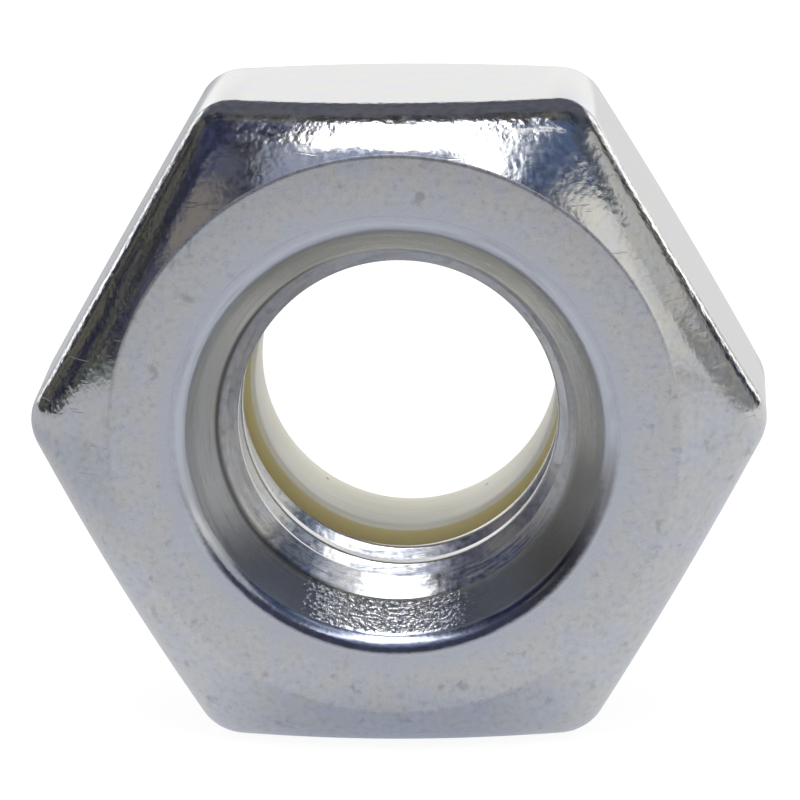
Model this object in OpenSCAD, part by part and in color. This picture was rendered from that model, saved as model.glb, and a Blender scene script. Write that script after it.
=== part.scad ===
// Hexagon lock nut with a nylon ring, for a 6 mm bolt with a 1 mm pitch.
// The nut stands on one flat. Its thread axis is the Y axis, and the bearing face lies in
// the plane y = 0 and faces -Y. The crown with the locking ring points to +Y.
// Every piece is drawn upright, bearing face down on z = 0, and then laid on its flat.
// The fine thread itself is left out: the hole is its minor diameter.

/* [Hexagon] */
// Width across two opposite flats
across_flats = 10; // [9.6:0.1:10.6]
// Depth of a flat's back edge below the bearing face, at the middle of the flat
flat_depth = 4.6; // [4.2:0.1:4.7]
// Radius that rounds the six upright corners between the flats
corner_radius = 0.7; // [0.5:0.1:1.2]
// Slope of the turned chamfers, measured from the bearing face, in degrees
chamfer_angle = 30; // [20:1:35]
// Diameter of the flat bearing face inside its chamfer
bearing_diameter = 8.7; // [8:0.1:9.2]

/* [Thread hole] */
// Minor diameter of the thread
minor_diameter = 4.917; // [4.8:0.001:5.1]
// Diameter at which the bearing face starts to round into the mouth of the hole
mouth_diameter = 6.9; // [6.6:0.1:7.4]
// Radius of the rounded mouth
mouth_radius = 0.35; // [0.2:0.05:0.5]
// Angle of the countersink between its two sides, in degrees
countersink_angle = 60; // [50:5:90]
// Depth at which the countersink runs into the tap's lead chamfer
lead_depth = 0.85; // [0.7:0.05:1]
// Angle of the lead chamfer between its two sides, in degrees
lead_angle = 90; // [70:5:100]
// Depth at which the last full crest of the thread ends
thread_end = 2.95; // [2.5:0.05:3.2]
// Angle of the cone that opens the thread towards the locking ring, in degrees
exit_angle = 60; // [40:5:80]

/* [Crown] */
// Height of the whole nut along its axis
nut_height = 6; // [5.9:0.1:6.6]
// Outer diameter of the crown
crown_diameter = 8.8; // [8.6:0.1:9.2]
// Thickness of the crown's wall and of its rolled rim
crown_wall = 0.55; // [0.45:0.05:0.65]
// Outer radius of the bend where the rim is rolled over the ring
roll_radius = 0.75; // [0.7:0.05:0.9]
// Diameter of the opening inside the rolled rim
rim_opening = 6.6; // [6:0.1:6.8]
// Radius of the fillet between the hexagon and the crown
crown_fillet = 0.2; // [0.1:0.05:0.25]

/* [Locking ring] */
// Bore of the nylon ring, a little smaller than the thread's minor diameter
ring_bore = 4.74; // [4.5:0.01:4.9]
// Depth of the shoulder that the ring sits on
ring_seat = 3.85; // [3.7:0.05:4.1]
// How far the ring's back face lies inside the rim's end
ring_recess = 0.25; // [0.1:0.05:0.4]
// Radius that rounds both edges of the ring's bore
ring_edge_radius = 0.12; // [0.06:0.02:0.2]
// Radius that rounds the ring's back face down towards the rim
ring_back_radius = 0.3; // [0.2:0.05:0.35]
// Clearance between the ring and the metal around it
ring_clearance = 0.02; // [0.01:0.01:0.05]

/* [Hidden] */
$fn = 96;

// Room that a cut runs past the face it opens
overrun = 1;
// A rounding runs this deep through the face that it blends into, so that the two cross at
// a shallow angle and leave no sliver
run_out = 0.006;

flat_radius = across_flats / 2;
bearing_radius = bearing_diameter / 2;
// A sharp hexagon reaches this far at its corners
sharp_radius = flat_radius / cos(30);
chamfer_reach = sharp_radius + overrun;

// Section of the crown
crown_radius = crown_diameter / 2;
shoulder_height = flat_depth + (flat_radius - crown_radius) * tan(chamfer_angle);
roll_center = [crown_radius - roll_radius, nut_height - roll_radius];
rim_radius = rim_opening / 2;
tip_radius = crown_wall / 2;
tip_center = [rim_radius + tip_radius, nut_height - tip_radius];
seat_radius = crown_radius - crown_wall;
seat_roll_radius = roll_radius - crown_wall;

// Section of the threaded hole
minor_radius = minor_diameter / 2;
countersink_half = countersink_angle / 2;
lead_half = lead_angle / 2;
mouth_center = [mouth_diameter / 2, mouth_radius];
// Where the rounded mouth runs into the countersink
mouth_end = mouth_center
    - (mouth_radius - run_out) * [cos(countersink_half), sin(countersink_half)];
lead_radius = mouth_end.x - (lead_depth - mouth_end.y) * tan(countersink_half);
first_crest = lead_depth + (lead_radius - minor_radius) / tan(lead_half);
exit_radius = minor_radius + (ring_seat - thread_end) * tan(exit_angle / 2);

// Section of the locking ring
bore_radius = ring_bore / 2;
ring_radius = seat_radius - ring_clearance;
ring_back = nut_height - ring_recess;
ring_under_rim = nut_height - crown_wall - ring_clearance;
ring_roll_radius = seat_roll_radius - ring_clearance;
ring_step_radius = rim_radius - ring_clearance;

// Turns an upright piece so that the nut stands on a flat, its bearing face to -Y
module on_its_flat() {
    rotate([-90, 0, 0])
        children();
}

// The six sides of the hexagon with round corners between them, upright
module hexagon_sides() {
    center_radius = (flat_radius - corner_radius) / cos(30);
    tangent_half = center_radius / 2;
    linear_extrude(height = nut_height) {
        polygon([for (side = [0 : 5], end = [-1, 1])
            [flat_radius * cos(60 * side + 30) - end * tangent_half * sin(60 * side + 30),
             flat_radius * sin(60 * side + 30) + end * tangent_half * cos(60 * side + 30)]]);
        for (corner = [0 : 5])
            rotate(60 * corner)
                translate([center_radius, 0])
                    circle(r = corner_radius + run_out);
    }
}

// The round blank that the chamfers at both ends of the hexagon are turned on
module turned_blank() {
    rise = (chamfer_reach - bearing_radius) * tan(chamfer_angle);
    fall = (chamfer_reach - crown_radius) * tan(chamfer_angle);
    rotate_extrude()
        polygon([
            [0, 0],
            [bearing_radius, 0],
            [chamfer_reach, rise],
            [chamfer_reach, shoulder_height - fall],
            [crown_radius, shoulder_height],
            [0, shoulder_height]
        ]);
}

// The fillet that runs from the back chamfer up the side of the crown
module crown_fillet_section() {
    fillet_center = [
        crown_radius + crown_fillet,
        shoulder_height + crown_fillet * tan(chamfer_angle)
    ];
    foot = fillet_center - crown_fillet * [sin(chamfer_angle), cos(chamfer_angle)];
    difference() {
        polygon([
            [crown_radius - crown_wall / 2, shoulder_height - crown_wall],
            foot,
            fillet_center,
            [crown_radius, fillet_center.y],
            [crown_radius - crown_wall / 2, fillet_center.y]
        ]);
        translate(fillet_center)
            circle(r = crown_fillet);
    }
}

// The crown's outside in section: a straight wall, the rolled bend and the flat rim
module crown_section() {
    square([crown_radius, roll_center.y]);
    translate(roll_center)
        circle(r = roll_radius);
    square([roll_center.x, nut_height]);
}

module crown_outside() {
    rotate_extrude() {
        intersection() {
            crown_section();
            translate([0, shoulder_height - crown_wall])
                square([crown_radius, nut_height]);
        }
        crown_fillet_section();
    }
}

// The mouth, the countersink, the lead chamfer, the thread's minor diameter and the cone
// behind it
module thread_hole() {
    rotate_extrude()
        difference() {
            polygon([
                [0, -overrun],
                [mouth_center.x, -overrun],
                [mouth_center.x, mouth_center.y],
                mouth_end,
                [lead_radius, lead_depth],
                [minor_radius, first_crest],
                [minor_radius, thread_end],
                [exit_radius, ring_seat],
                [0, ring_seat]
            ]);
            translate(mouth_center)
                circle(r = mouth_radius);
        }
}

// The seat of the locking ring, under the rolled rim and open through it
module ring_seat_space() {
    rotate_extrude() {
        translate([0, ring_seat])
            square([seat_radius, roll_center.y - ring_seat]);
        translate([0, ring_seat])
            square([seat_radius - seat_roll_radius, nut_height - crown_wall - ring_seat]);
        translate([seat_radius - seat_roll_radius, roll_center.y])
            circle(r = seat_roll_radius);
        difference() {
            translate([0, ring_seat])
                square([tip_center.x, nut_height + overrun - ring_seat]);
            translate(tip_center)
                circle(r = tip_radius);
        }
    }
}

module nut_body() {
    color("lightsteelblue")
        on_its_flat()
            difference() {
                union() {
                    intersection() {
                        hexagon_sides();
                        turned_blank();
                    }
                    crown_outside();
                }
                thread_hole();
                ring_seat_space();
            }
}

// What an edge of the ring loses to its rounding. The metal that stays lies inward of the
// edge: out is -1 where the edge faces the axis, up is -1 where it faces the bolt head.
module edge_cut(edge, radius, out, up) {
    center = edge - radius * [out, up];
    difference() {
        translate([min(center.x, center.x + out * overrun), min(center.y, center.y + up * overrun)])
            square(overrun);
        translate(center)
            circle(r = radius);
    }
}

module locking_ring() {
    color("cornsilk")
        on_its_flat()
            rotate_extrude()
                difference() {
                    union() {
                        translate([bore_radius, ring_seat])
                            square([ring_step_radius - bore_radius, ring_back - ring_seat]);
                        translate([bore_radius, ring_seat])
                            square([ring_radius - ring_roll_radius - bore_radius,
                                    ring_under_rim - ring_seat]);
                        translate([bore_radius, ring_seat])
                            square([ring_radius - bore_radius,
                                    ring_under_rim - ring_roll_radius - ring_seat]);
                        translate([ring_radius - ring_roll_radius,
                                   ring_under_rim - ring_roll_radius])
                            circle(r = ring_roll_radius);
                    }
                    edge_cut([bore_radius, ring_seat], ring_edge_radius, -1, -1);
                    edge_cut([bore_radius, ring_back], ring_edge_radius, -1, 1);
                    edge_cut([ring_step_radius, ring_back], ring_back_radius, 1, 1);
                }
}

nut_body();
locking_ring();
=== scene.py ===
"""A zinc-plated steel lock nut with a nylon ring, standing on one flat of its hexagon."""

from math import cos, pi, radians, sin, tan
from types import SimpleNamespace

import bmesh
import bpy
from mathutils import Matrix, Vector


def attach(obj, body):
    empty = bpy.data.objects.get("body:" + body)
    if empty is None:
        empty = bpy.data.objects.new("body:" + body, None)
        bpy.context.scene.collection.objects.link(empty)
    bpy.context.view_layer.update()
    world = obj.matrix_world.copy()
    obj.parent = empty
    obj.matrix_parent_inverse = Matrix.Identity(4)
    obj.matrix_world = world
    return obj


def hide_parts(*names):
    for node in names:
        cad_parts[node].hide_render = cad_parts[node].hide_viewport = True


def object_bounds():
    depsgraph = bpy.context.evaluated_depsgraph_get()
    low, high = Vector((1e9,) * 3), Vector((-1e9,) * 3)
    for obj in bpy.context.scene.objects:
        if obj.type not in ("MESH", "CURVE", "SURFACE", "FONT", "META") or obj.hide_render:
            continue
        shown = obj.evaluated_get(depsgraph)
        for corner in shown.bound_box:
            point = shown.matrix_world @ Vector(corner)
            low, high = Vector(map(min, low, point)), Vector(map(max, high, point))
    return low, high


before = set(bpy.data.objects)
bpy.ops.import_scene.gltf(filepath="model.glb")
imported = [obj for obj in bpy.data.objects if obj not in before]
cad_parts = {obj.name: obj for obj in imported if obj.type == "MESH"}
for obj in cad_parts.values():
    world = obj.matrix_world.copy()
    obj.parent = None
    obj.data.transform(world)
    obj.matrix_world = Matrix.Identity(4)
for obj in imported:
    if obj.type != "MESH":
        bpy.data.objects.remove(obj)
cad_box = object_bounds()


# Camera. A long lens, a hand's width from the nut, looks a little down on it and a little
# from the right, so that the hole shows its lower wall and the top flat shows as a band.
mm = 0.001
eye = Vector((4.49, -91.8, 22.3)) * mm
aim = Vector((-0.045, 2.97, -0.11)) * mm
lens_mm = 280.4
sensor_mm = 36
roll = radians(0.8)

camera_data = bpy.data.cameras.new("camera")
camera_data.sensor_width = sensor_mm
camera_data.lens = lens_mm
camera_data.clip_start = 0.01
camera_data.clip_end = 10
camera = bpy.data.objects.new("camera", camera_data)
camera.location = eye
camera.rotation_euler = (
    (aim - eye).to_track_quat("-Z", "Y").to_matrix() @ Matrix.Rotation(-roll, 3, "Z")
).to_euler()
bpy.context.collection.objects.link(camera)
bpy.context.scene.camera = camera
bpy.context.scene.view_settings.view_transform = "Standard"


# Floor. A plain white table top. The camera sees it white with the nut's shadow. The metal
# mirrors it as a painted glow in greys, darker in front, where the light falls off, and on the
# left, with a painted shadow under the nut, and darkest where the table ends on the left.
def feed(tree, socket, value):
    """Links a socket to another node's output, or sets it to a number or colour."""
    if hasattr(value, "is_output"):
        tree.links.new(value, socket)
    else:
        socket.default_value = value


def add_node(tree, kind, *by_number, **by_name):
    """Adds a node to a tree and feeds its inputs, given by number or by name."""
    node = tree.nodes.new(kind)
    for number, value in enumerate(by_number):
        feed(tree, node.inputs[number], value)
    for name, value in by_name.items():
        feed(tree, node.inputs[name.replace("_", " ")], value)
    return node


def math_node(tree, operation, *values):
    """Adds a math node and returns its result."""
    node = add_node(tree, "ShaderNodeMath", *values)
    node.operation = operation
    return node.outputs[0]


def vector_node(tree, operation, *values):
    """Adds a vector math node and returns its outputs."""
    node = add_node(tree, "ShaderNodeVectorMath", *values)
    node.operation = operation
    return node.outputs


def product(tree, first, *others):
    """Multiplies two or more values."""
    for other in others:
        first = math_node(tree, "MULTIPLY", first, other)
    return first


def fade(tree, value, low, high):
    """0 below low, 1 above high and a soft step between, or the other way round."""
    node = add_node(
        tree, "ShaderNodeMapRange",
        Value=value, From_Min=low, From_Max=high, To_Min=0.0, To_Max=1.0,
    )
    node.interpolation_type = "SMOOTHSTEP"
    return node.outputs["Result"]


def blend(tree, factor, first, second):
    """Mixes two colours."""
    node = tree.nodes.new("ShaderNodeMix")
    node.data_type = "RGBA"
    for number, value in zip((0, 6, 7), (factor, first, second)):
        feed(tree, node.inputs[number], value)
    return node.outputs[2]


floor_size = 2.0
floor_height = cad_box[0][2]
floor_tone = (0.8, 0.8, 0.81, 1)
floor_roughness = 0.9
seen_tone = (1.2, 1.2, 1.2, 1)
seen_share = 0.75
front_tone = (0.62, 0.635, 0.67, 1)
far_front_tone = (0.5, 0.5, 0.515, 1)
back_tone = (0.8, 0.8, 0.8, 1)
left_tone = (0.47, 0.49, 0.53, 1)
far_left_tone = (0.54, 0.55, 0.58, 1)
table_end_tone = (0.1, 0.13, 0.11, 1)
contact_shadow_tone = (0.4, 0.43, 0.5, 1)

bpy.ops.mesh.primitive_plane_add(size=floor_size, location=(0, 0, floor_height))
floor = bpy.context.object
floor.name = "floor"
floor_white = bpy.data.materials.new("floor_white")
floor_white.use_nodes = True
tree = floor_white.node_tree
shader = tree.nodes["Principled BSDF"]
shader.inputs["Base Color"].default_value = floor_tone
shader.inputs["Roughness"].default_value = floor_roughness
ground = add_node(tree, "ShaderNodeTexCoord").outputs["Object"]
rightward, backward, _ = add_node(tree, "ShaderNodeSeparateXYZ", Vector=ground).outputs
# Painted reflection of the table: darker in front, where the light falls off, and on the left
front = blend(tree, fade(tree, backward, -0.022, -0.042), front_tone, far_front_tone)
left = blend(tree, fade(tree, rightward, -0.014, -0.03), left_tone, far_left_tone)
mirrored = blend(tree, fade(tree, backward, -0.01, 0.03), front, back_tone)
mirrored = blend(tree, fade(tree, rightward, -0.004, -0.016), mirrored, left)
table_end = product(tree, fade(tree, rightward, -0.08, -0.12), fade(tree, backward, 0.0, -0.03))
mirrored = blend(tree, table_end, mirrored, table_end_tone)
from_nut = vector_node(tree, "LENGTH", ground)["Value"]
# Painted shadow of the nut on the table, as the metal mirrors it
mirrored = blend(tree, fade(tree, from_nut, 0.0042, 0.001), mirrored, contact_shadow_tone)
path = add_node(tree, "ShaderNodeLightPath").outputs
tone = blend(tree, path["Is Glossy Ray"], seen_tone, mirrored)
glow = add_node(tree, "ShaderNodeEmission", Color=tone, Strength=1.0).outputs[0]
seen = math_node(tree, "MAXIMUM", path["Is Camera Ray"], path["Is Transmission Ray"])
seen = math_node(tree, "ADD", product(tree, seen, seen_share), path["Is Glossy Ray"])
surface = add_node(tree, "ShaderNodeMixShader", seen, shader.outputs[0], glow).outputs[0]
tree.links.new(surface, tree.nodes["Material Output"].inputs["Surface"])
floor.data.materials.append(floor_white)


# Soft box. One soft lamp overhead and in front, which gives the nylon its light and shade.
# The steel mirrors the diffuser round it, which is drawn in the studio below.
box_height = 0.3
box_forward = 0.108
box_width = 0.09
box_depth = 0.29
box_brightness = 3.0
bpy.ops.object.light_add(type="AREA", location=(0, -box_forward, box_height))
soft_box = bpy.context.object
soft_box.name = "soft_box"
soft_box.data.shape = "RECTANGLE"
soft_box.data.size = box_width
soft_box.data.size_y = box_depth
soft_box.data.energy = box_brightness * pi * box_width * box_depth


# Studio. What the plated steel mirrors: a room that is dark in front and on the left, with
# blue, navy and pale cloths, a pale wall on the right and a white screen behind. Bearings are
# in degrees from the camera, right is positive, and heights are in degrees above the horizon.
def noise(tree, place, scale, detail):
    """A cloudy pattern around a half."""
    node = add_node(tree, "ShaderNodeTexNoise", Vector=place, Scale=scale, Detail=detail)
    return node.outputs["Fac"]


def window(tree, value, low, high, edge):
    """1 between low and high, 0 outside, with soft edges."""
    rise = fade(tree, value, low - edge, low + edge)
    return product(tree, rise, fade(tree, value, high + edge, high - edge))


def paint(tree, colour, coats):
    """Lays coats over a colour. Each has a mask, a tone and the share that it covers."""
    for mask, tone, cover in coats.values():
        colour = blend(tree, product(tree, mask, cover), colour, tone)
    return colour


bearing_edge = 3.0
height_edge = 2.0
wobble_reach = 7.0
wobble_in_height = 0.4

world = bpy.data.worlds.new("studio")
bpy.context.scene.world = world
world.use_nodes = True
tree = world.node_tree
tree.nodes.clear()
ray = add_node(tree, "ShaderNodeTexCoord").outputs["Generated"]
rightward, backward, upward = add_node(tree, "ShaderNodeSeparateXYZ", Vector=ray).outputs
forward = product(tree, backward, -1.0)
uneven = noise(tree, ray, scale=7.0, detail=4.0)
cloudy = noise(tree, ray, scale=3.2, detail=3.0)
murky = noise(tree, ray, scale=6.5, detail=5.0)
speckled = noise(tree, ray, scale=38.0, detail=3.0)
wobble = math_node(tree, "MULTIPLY_ADD", uneven, 2 * wobble_reach, -wobble_reach)
bearing = math_node(tree, "DEGREES", math_node(tree, "ARCTAN2", rightward, forward))
bearing = math_node(tree, "ADD", bearing, wobble)
height = math_node(tree, "DEGREES", math_node(tree, "ARCSINE", upward))
height = math_node(tree, "MULTIPLY_ADD", wobble, wobble_in_height, height)
around = math_node(tree, "ABSOLUTE", bearing)


def between(left, right, low, high):
    """The part of the room between two bearings and two heights."""
    across = window(tree, bearing, left, right, bearing_edge)
    return product(tree, across, window(tree, height, low, high, height_edge))


dark_tones = (0.005, 0.008, 0.035, 1), (0.012, 0.012, 0.008, 1)
lighter_dark = (0.12, 0.115, 0.09, 1)
blue_tones = (0.014, 0.03, 0.1, 1), (0.115, 0.19, 0.345, 1)
pale_tones = (0.18, 0.22, 0.34, 1), (0.5, 0.55, 0.72, 1)
navy_tones = (0.004, 0.008, 0.04, 1), (0.035, 0.05, 0.14, 1)
screen_tones = (1.2, 1.2, 1.18, 1), (1.04, 1.04, 1.03, 1)
dark = blend(tree, fade(tree, cloudy, 0.42, 0.58), *dark_tones)
room = blend(tree, fade(tree, murky, 0.5, 0.57), dark, lighter_dark)
blue = blend(tree, fade(tree, speckled, 0.42, 0.6), *blue_tones)
pale = blend(tree, fade(tree, speckled, 0.4, 0.6), *pale_tones)
navy = blend(tree, fade(tree, murky, 0.45, 0.6), *navy_tones)
screen = blend(tree, fade(tree, around, 162, 170), *screen_tones)
behind = product(tree, fade(tree, around, 130, 145), window(tree, height, 19, 66, height_edge))
strip = product(
    tree, window(tree, around, 141, 153, bearing_edge), window(tree, height, -15, 22, edge=3.0),
    fade(tree, speckled, 0.4, 0.5),
)
screen_seen = product(tree, fade(tree, around, 154, 160), fade(tree, height, 21, 17))
colour = paint(tree, room, {
    "front": (between(-60, 60, -20, 33), (0.07, 0.075, 0.12, 1), 0.8),
    "navy cloth": (between(-112, -40, 33, 80), navy, 0.95),
    "shelf": (between(-56, -42, 19, 33), (0.25, 0.225, 0.2, 1), 1.0),
    "fold": (between(-46, -42, 33, 40), (0.25, 0.27, 0.33, 1), 0.5),
    "pale cloth": (between(-34, 18, 34, 56), pale, 0.95),
    "blue cloth": (between(18, 104, 34, 84), blue, 0.95),
    "wall": (between(36, 118, -30, 33), (0.86, 0.85, 0.79, 1), 1.0),
    "teal edge": (between(66, 150, 29, 50), (0.06, 0.075, 0.1, 1), 0.8),
    "dim wall": (between(52, 124, -4, 27), (0.65, 0.64, 0.605, 1), 0.8),
    "wall in shade": (between(68, 124, -3, 27), (0.5, 0.5, 0.48, 1), 0.8),
    "foot of the wall": (between(72, 124, 3, 14), (0.25, 0.25, 0.24, 1), 0.9),
    "wall behind": (behind, (0.11, 0.115, 0.15, 1), 0.8),
    "screen's bright edge": (strip, (2.2, 2.2, 2.2, 1), 1.0),
    "screen": (screen_seen, screen, 1.0),
})

# The diffuser round the soft box hangs level, so it is measured as if on a ceiling: across
# and ahead are distances for a ceiling at a height of one. It widens towards the front, its
# front end reaches further on the right, and a dip in the middle lets the pale cloth show.
# A second, fainter pane beside it is seen in the hole's lead chamfer.
lowest_upward = 0.05
half_width_overhead = 0.125
widening = 0.36
middle_overhead = -0.03
middle_drift = 0.025
side_edge = 0.02
side_wobble = 0.006
front_reach = 0.8
right_reach = 0.42
middle_dip = -0.16
front_edge = 0.03
front_wobble = 0.012
halo_width = 0.16

ceiling = math_node(tree, "MAXIMUM", upward, lowest_upward)
across = math_node(tree, "DIVIDE", rightward, ceiling)
ahead = math_node(tree, "DIVIDE", forward, ceiling)
half_width = math_node(tree, "MULTIPLY_ADD", ahead, widening, half_width_overhead)
half_width = math_node(tree, "MULTIPLY_ADD", wobble, side_wobble, half_width)
middle = math_node(tree, "MULTIPLY_ADD", ahead, middle_drift, middle_overhead)
off_middle = math_node(tree, "ABSOLUTE", math_node(tree, "SUBTRACT", across, middle))
beside = math_node(tree, "SUBTRACT", off_middle, half_width)
on_right = fade(tree, across, 0.12, 0.42)
in_middle = window(tree, across, -0.1, 0.1, edge=0.05)
front_end = math_node(tree, "MULTIPLY_ADD", on_right, right_reach, front_reach)
front_end = math_node(tree, "MULTIPLY_ADD", in_middle, middle_dip, front_end)
front_end = math_node(tree, "MULTIPLY_ADD", wobble, front_wobble, front_end)
beyond = math_node(tree, "SUBTRACT", ahead, front_end)
in_length = product(
    tree, fade(tree, beyond, front_edge, -front_edge), fade(tree, ahead, -0.16, -0.1)
)
halo = product(
    tree, fade(tree, beside, halo_width, 0.0), in_length, fade(tree, across, -0.05, 0.05)
)
pane = product(
    tree, window(tree, across, 0.22, 0.66, edge=0.04), window(tree, ahead, 0.21, 0.33, edge=0.03),
    fade(tree, speckled, 0.4, 0.48),
)
diffuser = product(tree, fade(tree, beside, side_edge, -side_edge), in_length)
colour = paint(tree, colour, {
    "halo": (halo, (0.32, 0.41, 0.58, 1), 0.48),
    "diffuser": (diffuser, (2.8, 2.8, 2.8, 1), 1.0),
    "second pane": (pane, (1.45, 1.45, 1.45, 1), 1.0),
})

# Matte surfaces get an even fill instead, and the camera sees white
even_fill = (0.75, 0.75, 0.75, 1)
white = (1, 1, 1, 1)
path = add_node(tree, "ShaderNodeLightPath").outputs
colour = blend(tree, path["Is Diffuse Ray"], colour, even_fill)
seen = math_node(tree, "MAXIMUM", path["Is Camera Ray"], path["Is Transmission Ray"])
colour = blend(tree, seen, colour, white)
studio_light = add_node(tree, "ShaderNodeBackground", Color=colour, Strength=1.0)
add_node(tree, "ShaderNodeOutputWorld", Surface=studio_light.outputs[0])


# Nut body. One piece of steel, cold formed from wire into a hexagon, then turned at both
# ends, tapped and zinc plated. Its crown is rolled in over the locking ring, so the two
# never come apart.
flat_radius = 5.0 * mm
corner_radius = 0.7 * mm
bearing_radius = 4.35 * mm
chamfer_angle = radians(30)
chamfer_slope = tan(chamfer_angle)
flat_depth = 4.6 * mm
crown_radius = 4.4 * mm
crown_wall = 0.55 * mm
nut_height = 6.0 * mm
roll_radius = 0.75 * mm
rim_radius = 3.3 * mm
thread_radius = 2.4585 * mm
mouth_radius = 3.45 * mm
mouth_rounding = 0.35 * mm
countersink_half = radians(30)
lead_depth = 0.85 * mm
thread_end = 2.95 * mm
exit_radius = 2.98 * mm
seat_depth = 3.85 * mm
crown_fillet = 0.2 * mm
land_rounding = 0.14 * mm
front_rounding = 0.58 * mm
back_rounding = 0.4 * mm
rounding_segments = 8
smooth_angle = radians(12)

# The outline is a circle whose points are moved onto a hexagon with six round corners. The
# straight sides get points as well, for the round parts that grow from the same outline.
sixth = pi / 3
corner_points = 13
side_cuts = 19
shortest_side = 1.0 * mm
corner_center = (flat_radius - corner_radius) / cos(sixth / 2)
bpy.ops.object.select_all(action="DESELECT")
bpy.ops.mesh.primitive_circle_add(vertices=6 * corner_points, fill_type="NOTHING")
nut = bpy.context.object
nut.name = "nut_steel"
for i, vertex in enumerate(nut.data.vertices):
    corner = i // corner_points * sixth
    turned = corner + (i % corner_points / (corner_points - 1) - 0.5) * sixth
    vertex.co = (
        corner_center * cos(corner) + corner_radius * cos(turned), 0,
        corner_center * sin(corner) + corner_radius * sin(turned),
    )
bpy.ops.object.mode_set(mode="EDIT")
bpy.ops.mesh.select_mode(type="EDGE")
bpy.ops.mesh.select_all(action="DESELECT")
outline = bmesh.from_edit_mesh(nut.data)
for edge in outline.edges:
    edge.select_set(edge.calc_length() > shortest_side)
bmesh.update_edit_mesh(nut.data)
bpy.ops.mesh.subdivide(number_cuts=side_cuts)


def reach(vertex):
    """A vertex's distance from the thread axis."""
    return Vector((vertex.co.x, 0, vertex.co.z)).length


def front_cone(radius):
    """Depth of the turned chamfer beside the bearing face."""
    return (radius - bearing_radius) * chamfer_slope


def back_cone(radius):
    """Depth of the turned chamfer beside the crown."""
    return flat_depth + (flat_radius - radius) * chamfer_slope


def lay_rim(cone):
    """Moves the selected outline along the axis until it lies on a turned cone."""
    mesh = bmesh.from_edit_mesh(nut.data)
    for vertex in mesh.verts:
        if vertex.select:
            vertex.co.y = cone(reach(vertex))
    bmesh.update_edit_mesh(nut.data)


def turn(piece, section):
    """Extrudes the selected ring of a piece through the (radius, depth) points of a section."""
    for radius, depth in section:
        bpy.ops.mesh.extrude_edges_move()
        mesh = bmesh.from_edit_mesh(piece.data)
        for vertex in mesh.verts:
            if vertex.select:
                outward = Vector((vertex.co.x, 0, vertex.co.z)).normalized()
                vertex.co = outward * radius + Vector((0, depth, 0))
        bmesh.update_edit_mesh(piece.data)


def arc(center, radius, start, end, steps):
    """Points of an arc in a section, its angles measured from the outward direction."""
    angles = [start + (end - start) * i / steps for i in range(steps + 1)]
    return [(center[0] + radius * cos(a), center[1] + radius * sin(a)) for a in angles]


bpy.ops.mesh.select_all(action="SELECT")
lay_rim(back_cone)
bpy.ops.mesh.extrude_edges_move()
lay_rim(front_cone)

# From the front rim over the bearing face, down the hole, round the ring's seat and the
# rolled rim, and down the crown
land_center = (bearing_radius - land_rounding * tan(chamfer_angle / 2), land_rounding)
mouth_center = (mouth_radius, mouth_rounding)
mouth_arc = arc(mouth_center, mouth_rounding, -pi / 2, -pi + countersink_half, steps=8)
mouth_end = mouth_arc[-1]
lead_radius = mouth_end[0] - (lead_depth - mouth_end[1]) * tan(countersink_half)
first_full_depth = lead_depth + lead_radius - thread_radius
roll_center = (crown_radius - roll_radius, nut_height - roll_radius)
tip_center = (rim_radius + crown_wall / 2, nut_height - crown_wall / 2)
shoulder = back_cone(crown_radius)
fillet_center = (crown_radius + crown_fillet, shoulder + crown_fillet * chamfer_slope)
turn(nut, arc(land_center, land_rounding, chamfer_angle - pi / 2, -pi / 2, steps=3))
turn(nut, mouth_arc)
turn(nut, [(lead_radius, lead_depth), (thread_radius, first_full_depth)])
turn(nut, [(thread_radius, thread_end)])
turn(nut, [(exit_radius, seat_depth), (crown_radius - crown_wall, seat_depth)])
turn(nut, arc(roll_center, roll_radius - crown_wall, 0, pi / 2, steps=9))
turn(nut, arc(tip_center, crown_wall / 2, -pi / 2, -1.5 * pi, steps=18))
turn(nut, arc(roll_center, roll_radius, pi / 2, 0, steps=10))
turn(nut, arc(fillet_center, crown_fillet, pi, 1.5 * pi - chamfer_angle, steps=6))
bpy.ops.mesh.select_all(action="DESELECT")
bpy.ops.mesh.select_non_manifold()
bpy.ops.mesh.bridge_edge_loops()


def round_rim(cone, width):
    """Rounds the edge between the flats and one of the turned chamfers."""
    inside_flats = flat_radius - 0.01 * mm
    off_cone = 0.001 * mm
    bpy.ops.mesh.select_all(action="DESELECT")
    mesh = bmesh.from_edit_mesh(nut.data)
    for edge in mesh.edges:
        edge.select_set(all(
            reach(v) > inside_flats and abs(v.co.y - cone(reach(v))) < off_cone
            for v in edge.verts
        ))
    bmesh.update_edit_mesh(nut.data)
    bpy.ops.mesh.bevel(
        offset=width, segments=rounding_segments, affect="EDGES", clamp_overlap=False
    )


round_rim(front_cone, front_rounding)
round_rim(back_cone, back_rounding)
bpy.ops.mesh.select_all(action="SELECT")
bpy.ops.mesh.normals_make_consistent(inside=False)
bpy.ops.object.mode_set(mode="OBJECT")

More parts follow.
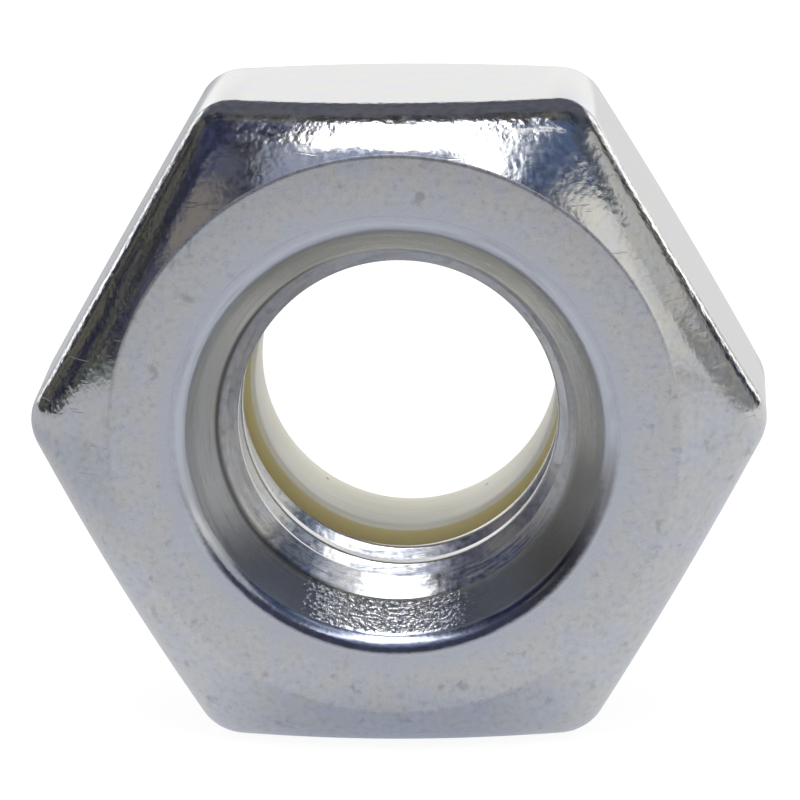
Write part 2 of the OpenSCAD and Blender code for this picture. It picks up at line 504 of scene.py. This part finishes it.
# The thread is cut by a wedge that runs through the hole as a right-hand screw, wide of the
# metal at both ends. Its sides curve out beside the hole's wall, which rounds the crests.
pitch = 1.0 * mm
major_radius = 3.0 * mm
thread_flank = radians(30)
root_flat = pitch / 8
crest_rounding = 0.06 * mm
crest_arc = radians(240), radians(190)
cutter_start = -1.75 * mm
cutter_turns = 6
cutter_steps = 96
cutter_taper = 0.54
shallowest_share = 0.1
wedge_foot = thread_radius - 0.1 * mm
wedge_foot_half = 0.45 * mm
crest_corner = root_flat / 2 + (major_radius - thread_radius) * tan(thread_flank)
crest_center = (
    thread_radius + crest_rounding, crest_corner + crest_rounding * tan(thread_flank)
)
wedge_section = [(major_radius, root_flat / 2)]
wedge_section += arc(crest_center, crest_rounding, *crest_arc, steps=5)
wedge_section.append((wedge_foot, wedge_foot_half))
bpy.ops.object.select_all(action="DESELECT")
bpy.ops.mesh.primitive_circle_add(vertices=2 * len(wedge_section), fill_type="NOTHING")
cutter = bpy.context.object
wedge = wedge_section + [(x, -y) for x, y in reversed(wedge_section)]
for vertex, (x, y) in zip(cutter.data.vertices, wedge):
    vertex.co = (x, cutter_start + y, 0)
bpy.ops.object.modifier_add(type="SCREW")
helix = cutter.modifiers[-1]
helix.axis = "Y"
helix.steps = helix.render_steps = cutter_steps
helix.iterations = cutter_turns
helix.screw_offset = pitch
bpy.ops.object.modifier_apply(modifier=helix.name)
# A tap is tapered at its tip, so the first groove starts shallow, below the countersink
for vertex in cutter.data.vertices:
    outward = Vector((vertex.co.x, 0, vertex.co.z))
    tapered = lead_radius + (vertex.co.y - lead_depth) * cutter_taper
    share = (tapered - wedge_foot) / (major_radius - wedge_foot)
    share = min(1, max(shallowest_share, share))
    outward *= (wedge_foot + (outward.length - wedge_foot) * share) / outward.length
    vertex.co = (outward.x, vertex.co.y, outward.z)
bpy.ops.object.mode_set(mode="EDIT")
bpy.ops.mesh.select_all(action="DESELECT")
bpy.ops.mesh.select_non_manifold()
bpy.ops.mesh.fill_holes(sides=0)
bpy.ops.mesh.select_all(action="SELECT")
bpy.ops.mesh.normals_make_consistent(inside=False)
bpy.ops.object.mode_set(mode="OBJECT")

bpy.ops.object.select_all(action="DESELECT")
nut.select_set(True)
bpy.context.view_layer.objects.active = nut
bpy.ops.object.modifier_add(type="BOOLEAN")
tapping = nut.modifiers[-1]
tapping.operation = "DIFFERENCE"
tapping.solver = "EXACT"
tapping.object = cutter
bpy.ops.object.modifier_apply(modifier=tapping.name)
bpy.data.objects.remove(cutter)
bpy.ops.object.shade_smooth_by_angle(angle=smooth_angle)
bpy.ops.object.modifier_add(type="WEIGHTED_NORMAL")
even_shading = nut.modifiers[-1]
even_shading.keep_sharp = True
even_shading.weight = 90
bpy.ops.object.modifier_apply(modifier=even_shading.name)

# The plating is thin zinc with cool and warm clouds, a fine grain and a few stains. Patterns
# are in millimetres, and waves, pits and scratches are depths in thousandths of one.
micron = 0.001 * mm
cool_zinc = (0.675, 0.69, 0.73, 1)
warm_zinc = (0.71, 0.70, 0.685, 1)
dark_grain = (0.5, 0.505, 0.53, 1)
light_grain = (0.8, 0.81, 0.83, 1)
stain_tone = (0.42, 0.42, 0.43, 1)
scratch_turns = {0.65: 1.0, -0.8: 0.7}
scratch_stretch = (1.2, 1, 14)


def plating(name, metallic, roughness, mottle, waves, pits, scratches):
    """A zinc finish, with the outputs that a special place on the nut builds on."""
    material = bpy.data.materials.new(name)
    material.use_nodes = True
    tree = material.node_tree
    shader = tree.nodes["Principled BSDF"]
    shader.inputs["Metallic"].default_value = metallic
    place = add_node(tree, "ShaderNodeTexCoord").outputs["Object"]
    place = vector_node(tree, "MULTIPLY", place, (1 / mm, 1 / mm, 1 / mm))["Vector"]
    clouds = noise(tree, place, scale=2.0, detail=4.0)
    grain = noise(tree, place, scale=9.0, detail=6.0)
    smudges = noise(tree, place, scale=3.4, detail=4.0)
    swells = noise(tree, place, scale=3.5, detail=2.0)
    pitting = noise(tree, place, scale=14.0, detail=2.0)
    tint = blend(tree, fade(tree, clouds, 0.38, 0.6), cool_zinc, warm_zinc)
    tint = paint(tree, tint, {
        "dark grain": (fade(tree, grain, 0.52, 0.25), dark_grain, mottle),
        "light grain": (fade(tree, grain, 0.5, 0.75), light_grain, mottle),
        "stains": (fade(tree, smudges, 0.6, 0.72), stain_tone, mottle),
    })
    tree.links.new(tint, shader.inputs["Base Color"])
    rough = add_node(
        tree, "ShaderNodeMapRange", Value=grain, From_Min=0.3, From_Max=0.7,
        To_Min=roughness[0], To_Max=roughness[1],
    )
    tree.links.new(rough.outputs["Result"], shader.inputs["Roughness"])
    relief = product(tree, swells, waves)
    relief = math_node(tree, "MULTIPLY_ADD", pitting, pits, relief)
    for turned, share in scratch_turns.items():
        along = add_node(
            tree, "ShaderNodeMapping", Vector=place,
            Rotation=(0, turned, 0), Scale=scratch_stretch,
        )
        lines = noise(tree, along.outputs[0], scale=1.0, detail=1.0)
        scratch = fade(tree, lines, 0.7, 0.76)
        relief = math_node(tree, "MULTIPLY_ADD", scratch, -share * scratches, relief)
    bump = add_node(tree, "ShaderNodeBump", Strength=1.0, Distance=micron, Height=relief)
    tree.links.new(bump.outputs["Normal"], shader.inputs["Normal"])
    return SimpleNamespace(
        material=material, tree=tree, shader=shader, place=place,
        tint=tint, relief=relief, bump=bump,
    )


def distance_from_axis(tree, place):
    """Distance of a place from the thread axis."""
    flat = vector_node(tree, "MULTIPLY", place, (1, 0, 1))["Vector"]
    return vector_node(tree, "LENGTH", flat)["Value"]


# The chamfers are bright, their rounded rims rumpled, and the flats smooth
bright = plating(
    "zinc_bright", metallic=0.97, roughness=(0.08, 0.18),
    mottle=0.5, waves=5.0, pits=1.1, scratches=1.6,
)
rumpled = plating(
    "zinc_rumpled", metallic=0.97, roughness=(0.08, 0.2),
    mottle=0.5, waves=10.0, pits=2.6, scratches=1.2,
)
smooth = plating(
    "zinc_smooth", metallic=1.0, roughness=(0.12, 0.16),
    mottle=0.05, waves=0.5, pits=0.1, scratches=0.0,
)

# The bearing face is satin and a little bluer round the mouth of the hole
satin = plating(
    "zinc_satin", metallic=0.9, roughness=(0.24, 0.34),
    mottle=0.7, waves=3.0, pits=0.8, scratches=0.6,
)
tree = satin.tree
near_mouth = fade(tree, distance_from_axis(tree, satin.place), 3.8, 3.45)
tint = paint(tree, satin.tint, {"bluer mouth": (near_mouth, (0.64, 0.67, 0.74, 1), 0.7)})
tree.links.new(tint, satin.shader.inputs["Base Color"])

# The hole was pressed before it was tapped. Its walls have streaks round them, are hazy above,
# and crusty below, where the punch let go. Painted shade darkens the cone above, on the right,
# round the upper mouth and in a step on the left, painted light lightens it on the left, and a
# painted dark blue reflection darkens it below.
pressed = plating(
    "zinc_pressed", metallic=1.0, roughness=(0.14, 0.26),
    mottle=0.5, waves=6.0, pits=0.6, scratches=0.0,
)
streak_stretch = (0.9, 17, 0.9)
streak_depth = 4.0
crust_depth = 30.0
crust_raggedness = 1.6
speck_tones = (0.34, 0.36, 0.42, 1), (0.86, 0.87, 0.89, 1)
metal_above = 0.58
more_metal_below = 0.4
metal_at_mouth = 0.9
crust_end = lead_depth / mm - 0.03

tree = pressed.tree
right, depth, up = add_node(tree, "ShaderNodeSeparateXYZ", Vector=pressed.place).outputs
from_axis = distance_from_axis(tree, pressed.place)
inside = fade(tree, from_axis, 3.45, 3.36)
on_cone = product(tree, fade(tree, from_axis, 2.7, 2.85), inside)
upper_half = fade(tree, up, -1.8, -0.8)
on_left = fade(tree, right, -1.2, -2.4)
on_right = product(tree, fade(tree, right, 1.4, 2.4), fade(tree, up, 0.2, -0.9))
# Painted shade in the step between the cone and the lead chamfer, on the left side
shade_in_step = product(
    tree, window(tree, from_axis, 2.72, 2.79, edge=0.03), fade(tree, right, -0.6, -1.4)
)
round_it = add_node(tree, "ShaderNodeMapping", Vector=pressed.place, Scale=streak_stretch)
streaks = noise(tree, round_it.outputs[0], scale=1.0, detail=4.0)
crust = noise(tree, pressed.place, scale=15.0, detail=3.0)
ragged = math_node(tree, "MULTIPLY_ADD", crust, crust_raggedness, right)
crusty = product(
    tree, fade(tree, up, 0.0, -1.0), window(tree, ragged, -0.25, 1.5, edge=0.28),
    window(tree, depth, 0.19, crust_end, edge=0.03),
)
specks = blend(tree, fade(tree, crust, 0.42, 0.6), *speck_tones)
tint = paint(tree, pressed.tint, {
    "cool cone": (on_cone, (0.6, 0.64, 0.68, 1), 0.45),
    # Painted light: the cone lighter on its left side
    "painted light on left": (product(tree, on_left, on_cone), (0.82, 0.83, 0.85, 1), 0.7),
    # Painted shade: the cone darker at the top
    "painted shade above": (product(tree, fade(tree, up, 1.7, 2.8), on_cone), (0.41, 0.42, 0.425, 1), 1.0),
    # Painted reflection: the cone darker and bluer at the bottom, for the dark blue room
    "painted reflection below": (product(tree, fade(tree, up, -1.2, -2.3), on_cone), (0.37, 0.4, 0.49, 1), 1.0),
    # Painted shade: the rounded mouth darker round its upper half
    "rim": (product(tree, fade(tree, depth, 0.2, 0.1), upper_half), (0.57, 0.595, 0.655, 1), 1.0),
    # Painted shade: a darker ring at the mouth's edge, round its upper half
    "painted shade ring": (
        product(tree, window(tree, from_axis, 3.06, 3.2, edge=0.05), upper_half),
        (0.38, 0.4, 0.4, 1), 0.45,
    ),
    # Painted shade: the cone darker low on its right side
    "painted shade on right": (product(tree, on_right, on_cone), (0.3, 0.3, 0.31, 1), 1.0),
    # Painted shade: a dark line in that step
    "step": (shade_in_step, (0.12, 0.12, 0.12, 1), 0.85),
    "streaks": (product(tree, fade(tree, streaks, 0.5, 0.66), inside), (0.3, 0.3, 0.31, 1), 0.28),
    "crust": (crusty, specks, 1.0),
})
tree.links.new(tint, pressed.shader.inputs["Base Color"])
metal = fade(tree, up, -0.8, -2.0)
metal = math_node(tree, "MULTIPLY_ADD", metal, more_metal_below, metal_above)
clear_mouth = product(tree, fade(tree, from_axis, 3.2, 3.4), metal_at_mouth)
metal = math_node(tree, "MAXIMUM", metal, clear_mouth)
tree.links.new(metal, pressed.shader.inputs["Metallic"])
crust_relief = product(tree, crust, crusty)
relief = math_node(tree, "MULTIPLY_ADD", crust_relief, crust_depth, pressed.relief)
streak_relief = product(tree, streaks, inside)
relief = math_node(tree, "MULTIPLY_ADD", streak_relief, streak_depth, relief)
tree.links.new(relief, pressed.bump.inputs["Height"])

on_chamfer, on_land, on_flat, in_hole, on_rim = range(5)
land_end = 0.018 * mm
flat_start = 4.9 * mm
flat_tilt = 0.02
rim_start = 4.36 * mm
rim_end = 3.0 * mm
rim_tilt = -0.84
for finish in (bright, satin, smooth, pressed, rumpled):
    nut.data.materials.append(finish.material)
for face in nut.data.polygons:
    radius = Vector((face.center.x, 0, face.center.z)).length
    face_depth = face.center.y
    tilt = face.normal.y
    if radius < mouth_radius and face_depth < seat_depth:
        face.material_index = in_hole
    elif face_depth < land_end:
        face.material_index = on_land
    elif radius > flat_start and abs(tilt) < flat_tilt:
        face.material_index = on_flat
    elif radius > rim_start and face_depth < rim_end and tilt > rim_tilt:
        face.material_index = on_rim
    else:
        face.material_index = on_chamfer
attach(nut, "root")
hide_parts("nut_body")


# Locking ring. Moulded natural nylon with a bore smaller than the thread, dropped into its
# seat from behind before the crown was rolled over it.
ring_points = 192
ring_bore = 2.37 * mm
ring_radius = 3.83 * mm
ring_front_edge = 0.05 * mm
ring_edge = 0.12 * mm
ring_back_edge = 0.3 * mm
ring_roll = 0.18 * mm
ring_step = 3.28 * mm
ring_under_rim = 5.43 * mm
ring_back = 5.75 * mm

bpy.ops.object.select_all(action="DESELECT")
bpy.ops.mesh.primitive_circle_add(
    vertices=ring_points, radius=ring_radius - ring_front_edge, location=(0, seat_depth, 0),
    rotation=(pi / 2, 0, 0), fill_type="NOTHING",
)
ring = bpy.context.object
ring.name = "ring_nylon"
bpy.ops.object.transform_apply(location=True, rotation=True, scale=True)
bpy.ops.object.mode_set(mode="EDIT")
bpy.ops.mesh.select_all(action="SELECT")
front_center = (ring_bore + ring_edge, seat_depth + ring_edge)
back_center = (ring_bore + ring_edge, ring_back - ring_edge)
step_center = (ring_step - ring_back_edge, ring_back - ring_back_edge)
ring_roll_center = (ring_radius - ring_roll, ring_under_rim - ring_roll)
turn(ring, arc(front_center, ring_edge, -pi / 2, -pi, steps=8))
turn(ring, arc(back_center, ring_edge, pi, pi / 2, steps=8))
turn(ring, arc(step_center, ring_back_edge, pi / 2, 0, steps=8))
turn(ring, [(ring_step, ring_under_rim)])
turn(ring, arc(ring_roll_center, ring_roll, pi / 2, 0, steps=5))
turn(ring, [(ring_radius, seat_depth + ring_front_edge)])
bpy.ops.mesh.select_all(action="DESELECT")
bpy.ops.mesh.select_non_manifold()
bpy.ops.mesh.bridge_edge_loops()
bpy.ops.mesh.select_all(action="SELECT")
bpy.ops.mesh.remove_doubles(threshold=0.001 * mm)
bpy.ops.mesh.normals_make_consistent(inside=False)
bpy.ops.object.mode_set(mode="OBJECT")
bpy.ops.object.shade_smooth_by_angle(angle=smooth_angle)

# The bore is cream with fine lines round it and two dark flecks. The front face, in the bore's
# shadow, is painted a darker tan as painted shade
cream_tones = (0.84, 0.805, 0.685, 1), (0.91, 0.885, 0.79, 1)
shaded_face_tone = (0.74, 0.65, 0.39, 1)
fleck_tone = (0.1, 0.09, 0.07, 1)
flecks = (-1.34, 5.3, -1.95), (1.23, 5.2, -2.03)
fleck_edge = 0.04 * mm, 0.02 * mm
shaded_face_edge = seat_depth + 0.015 * mm, seat_depth + 0.003 * mm
line_stretch = (500, 16000, 500)
line_depth = 0.008 * mm

nylon = bpy.data.materials.new("natural_nylon")
nylon.use_nodes = True
tree = nylon.node_tree
shader = tree.nodes["Principled BSDF"]
place = add_node(tree, "ShaderNodeTexCoord").outputs["Object"]
depth = add_node(tree, "ShaderNodeSeparateXYZ", Vector=place).outputs["Y"]
round_it = add_node(tree, "ShaderNodeMapping", Vector=place, Scale=line_stretch)
lines = noise(tree, round_it.outputs[0], scale=1.0, detail=3.0)
tint = blend(tree, fade(tree, lines, 0.35, 0.65), *cream_tones)
# Painted shade: the front face, in the bore's shadow, darker and tan
tint = blend(tree, fade(tree, depth, *shaded_face_edge), tint, shaded_face_tone)
for fleck in flecks:
    off = vector_node(tree, "DISTANCE", place, Vector(fleck) * mm)["Value"]
    tint = blend(tree, fade(tree, off, *fleck_edge), tint, fleck_tone)
tree.links.new(tint, shader.inputs["Base Color"])
shader.inputs["Roughness"].default_value = 0.32
shader.inputs["Subsurface Weight"].default_value = 1.0
shader.inputs["Subsurface Radius"].default_value = (1.0, 0.85, 0.5)
shader.inputs["Subsurface Scale"].default_value = 1.5 * mm
bump = add_node(tree, "ShaderNodeBump", Strength=0.4, Distance=line_depth, Height=lines)
tree.links.new(bump.outputs["Normal"], shader.inputs["Normal"])
ring.data.materials.append(nylon)
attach(ring, "root")
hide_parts("locking_ring")
